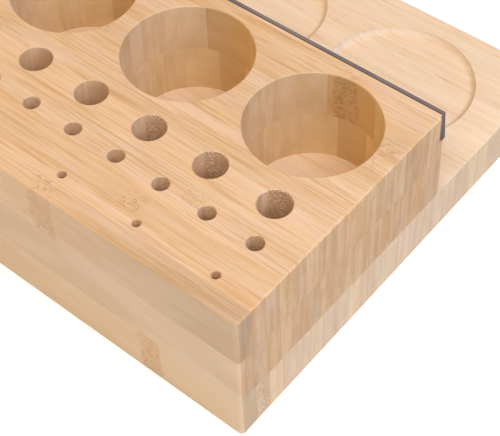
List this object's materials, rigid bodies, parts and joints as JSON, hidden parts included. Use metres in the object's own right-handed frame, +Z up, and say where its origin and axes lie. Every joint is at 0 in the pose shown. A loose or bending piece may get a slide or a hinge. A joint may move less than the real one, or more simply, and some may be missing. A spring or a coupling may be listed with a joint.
{
  "type": "fly tying tool caddy",
  "caption": "Stepped block of laminated bamboo that stands tying tools upright in rows of round holes, with deep cups, a recessed rear shelf and a magnetic strip.",
  "frame": {"origin": "the middle of the underside", "axes": "+X along the length to the right, +Y from the front face to the rear shelf, +Z up"},
  "size_m": [0.2446, 0.198, 0.066],
  "materials": {
    "bamboo_top": "sanded, clear satin oil",
    "bamboo_middle": "sanded, clear satin oil",
    "bamboo_base": "sanded, clear satin oil",
    "magnet_rubber": "matt, with a fine rolled grain"
  },
  "bodies": {
    "root": {"base_stave_01": "bamboo_base", "base_stave_02": "bamboo_base", "base_stave_03": "bamboo_base", "base_stave_04": "bamboo_base", "base_stave_05": "bamboo_base", "base_stave_06": "bamboo_base", "base_stave_07": "bamboo_base", "base_stave_08": "bamboo_base", "base_stave_09": "bamboo_base", "base_stave_10": "bamboo_base", "base_stave_11": "bamboo_base", "base_stave_12": "bamboo_base", "base_stave_13": "bamboo_base", "base_stave_14": "bamboo_base", "base_stave_15": "bamboo_base", "base_stave_16": "bamboo_base", "base_stave_17": "bamboo_base", "base_stave_18": "bamboo_base", "base_stave_19": "bamboo_base", "base_stave_20": "bamboo_base", "base_stave_21": "bamboo_base", "base_stave_22": "bamboo_base", "base_stave_23": "bamboo_base", "base_stave_24": "bamboo_base", "base_stave_25": "bamboo_base", "base_stave_26": "bamboo_base", "middle_stave_01": "bamboo_middle", "middle_stave_02": "bamboo_middle", "middle_stave_03": "bamboo_middle", "middle_stave_04": "bamboo_middle", "middle_stave_05": "bamboo_middle", "middle_stave_06": "bamboo_middle", "middle_stave_07": "bamboo_middle", "middle_stave_08": "bamboo_middle", "middle_stave_09": "bamboo_middle", "middle_stave_10": "bamboo_middle", "middle_stave_11": "bamboo_middle", "middle_stave_12": "bamboo_middle", "middle_stave_13": "bamboo_middle", "middle_stave_14": "bamboo_middle", "middle_stave_15": "bamboo_middle", "middle_stave_16": "bamboo_middle", "top_stave_01": "bamboo_top", "top_stave_02": "bamboo_top", "top_stave_03": "bamboo_top", "top_stave_04": "bamboo_top", "top_stave_05": "bamboo_top", "top_stave_06": "bamboo_top", "top_stave_07": "bamboo_top", "top_stave_08": "bamboo_top", "top_stave_09": "bamboo_top", "top_stave_10": "bamboo_top", "top_stave_11": "bamboo_top", "top_stave_12": "bamboo_top", "top_stave_13": "bamboo_top", "top_stave_14": "bamboo_top", "top_stave_15": "bamboo_top", "top_stave_16": "bamboo_top", "top_stave_17": "bamboo_top", "magnetic_strip": "magnet_rubber"}
  },
  "joints": []
}
